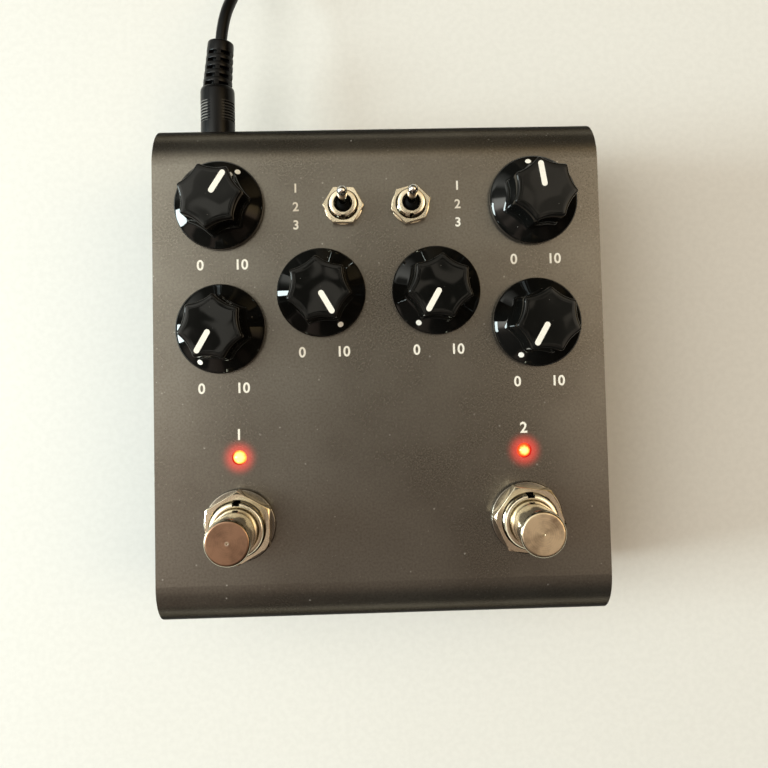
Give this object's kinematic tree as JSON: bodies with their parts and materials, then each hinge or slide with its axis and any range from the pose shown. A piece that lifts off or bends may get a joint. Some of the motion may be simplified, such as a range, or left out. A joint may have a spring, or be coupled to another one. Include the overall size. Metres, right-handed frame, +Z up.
{
  "type": "echo effect pedal",
  "caption": "Compact folded-metal echo pedal with fluted knobs, toggles, footswitches, lit lamps, rear sockets and a plugged-in supply lead.",
  "frame": {"origin": "on the surface that the feet stand on, under the middle of the pedal's box without its lead", "axes": "+Z up, +Y to the rear wall with the sockets, +X to the player's right"},
  "size_m": [0.1016, 0.2262, 0.0605],
  "materials": {
    "case_metal": "bead-blasted and anodised bronze grey, with a fine speckle",
    "screw_steel": "blackened steel",
    "foot_rubber": "matt black rubber",
    "board_laminate": "green solder mask",
    "chip_resin": "black moulding resin",
    "can_metal": "drawn aluminium cans",
    "post_brass": "bright brass",
    "pot_case": "plated steel",
    "shaft_metal": "turned aluminium",
    "knob_plastic": "glossy black moulding with white marks",
    "nut_plate": "bright nickel plate, warm in tone",
    "toggle_metal": "nickel-plated bushing",
    "lever_plate": "polished plate",
    "lamp_lens": "clear red lens, lit",
    "switch_metal": "nickel-plated bushing",
    "spring_steel": "spring wire",
    "plunger_plate": "polished nickel plate, lightly scuffed",
    "jack_plastic": "black moulding",
    "jack_ring": "bright nickel plate",
    "plug_moulding": "satin black moulding",
    "cord_jacket": "satin black jacket",
    "tie_band": "black hook-and-loop band"
  },
  "bodies": {
    "pedal": {"top_cover": "case_metal", "base_pan": "case_metal", "base_screws": "screw_steel", "rubber_feet": "foot_rubber", "control_board": "board_laminate", "jack_board": "board_laminate", "control_board_chips": "chip_resin", "board_header": "chip_resin", "jack_board_parts": "can_metal", "board_posts": "post_brass", "pot_top_left": "pot_case", "pot_top_right": "pot_case", "pot_mid_left": "pot_case", "pot_mid_right": "pot_case", "pot_low_left": "pot_case", "pot_low_right": "pot_case", "pot_washers": "nut_plate", "pot_nuts": "nut_plate", "toggle_washers": "nut_plate", "toggle_nuts": "nut_plate", "footswitch_washers": "nut_plate", "footswitch_nuts": "nut_plate", "toggle_switch_left": "toggle_metal", "toggle_switch_right": "toggle_metal", "lamp_left": "lamp_lens", "lamp_right": "lamp_lens", "footswitch_body_left": "switch_metal", "footswitch_body_right": "switch_metal", "footswitch_spring_left": "spring_steel", "footswitch_spring_right": "spring_steel", "input_jack": "jack_plastic", "expression_jack": "jack_plastic", "output_jack_left": "jack_plastic", "output_jack_right": "jack_plastic", "supply_jack": "jack_plastic", "jack_washers": "jack_ring", "jack_nuts": "jack_ring", "pedal_plug": "plug_moulding", "far_plug": "plug_moulding", "supply_cord": "cord_jacket", "cord_coil": "cord_jacket", "cord_tie": "tie_band"},
    "top_left_control": {"knob_top_left": "knob_plastic", "shaft_top_left": "shaft_metal"},
    "top_right_control": {"knob_top_right": "knob_plastic", "shaft_top_right": "shaft_metal"},
    "mid_left_control": {"knob_mid_left": "knob_plastic", "shaft_mid_left": "shaft_metal"},
    "mid_right_control": {"knob_mid_right": "knob_plastic", "shaft_mid_right": "shaft_metal"},
    "low_left_control": {"knob_low_left": "knob_plastic", "shaft_low_left": "shaft_metal"},
    "low_right_control": {"knob_low_right": "knob_plastic", "shaft_low_right": "shaft_metal"},
    "left_lever": {"toggle_lever_left": "lever_plate"},
    "right_lever": {"toggle_lever_right": "lever_plate"},
    "left_button": {"footswitch_plunger_left": "plunger_plate"},
    "right_button": {"footswitch_plunger_right": "plunger_plate"}
  },
  "joints": [
    {"name": "top_left_knob_turn", "type": "hinge", "parent": "pedal", "child": "top_left_control", "pos_m": [-0.0355, 0.03585, 0.052], "axis": [0, 0, -1], "range_deg": [-183, 117]},
    {"name": "top_right_knob_turn", "type": "hinge", "parent": "pedal", "child": "top_right_control", "pos_m": [0.0355, 0.03585, 0.052], "axis": [0, 0, -1], "range_deg": [-141, 159]},
    {"name": "mid_left_knob_turn", "type": "hinge", "parent": "pedal", "child": "mid_left_control", "pos_m": [-0.0129, 0.01575, 0.052], "axis": [0, 0, -1], "range_deg": [-300, 0]},
    {"name": "mid_right_knob_turn", "type": "hinge", "parent": "pedal", "child": "mid_right_control", "pos_m": [0.0129, 0.01575, 0.052], "axis": [0, 0, -1], "range_deg": [0, 300]},
    {"name": "low_left_knob_turn", "type": "hinge", "parent": "pedal", "child": "low_left_control", "pos_m": [-0.0355, 0.0081, 0.052], "axis": [0, 0, -1], "range_deg": [0, 300]},
    {"name": "low_right_knob_turn", "type": "hinge", "parent": "pedal", "child": "low_right_control", "pos_m": [0.0355, 0.0081, 0.052], "axis": [0, 0, -1], "range_deg": [0, 300]},
    {"name": "left_toggle_tip", "type": "hinge", "parent": "pedal", "child": "left_lever", "pos_m": [-0.0076, 0.0353, 0.0473], "axis": [1, 0, 0], "range_deg": [0, 25]},
    {"name": "right_toggle_tip", "type": "hinge", "parent": "pedal", "child": "right_lever", "pos_m": [0.0076, 0.0353, 0.0473], "axis": [1, 0, 0], "range_deg": [0, 25]},
    {"name": "left_footswitch_press", "type": "slide", "parent": "pedal", "child": "left_button", "axis": [0, 0, -1], "range_m": [0, 0.0023], "stiffness_N_per_m": 2500, "springref_m": -0.002, "deforming": ["footswitch_spring_left"]},
    {"name": "right_footswitch_press", "type": "slide", "parent": "pedal", "child": "right_button", "axis": [0, 0, -1], "range_m": [0, 0.0023], "stiffness_N_per_m": 2500, "springref_m": -0.002, "deforming": ["footswitch_spring_right"]}
  ]
}
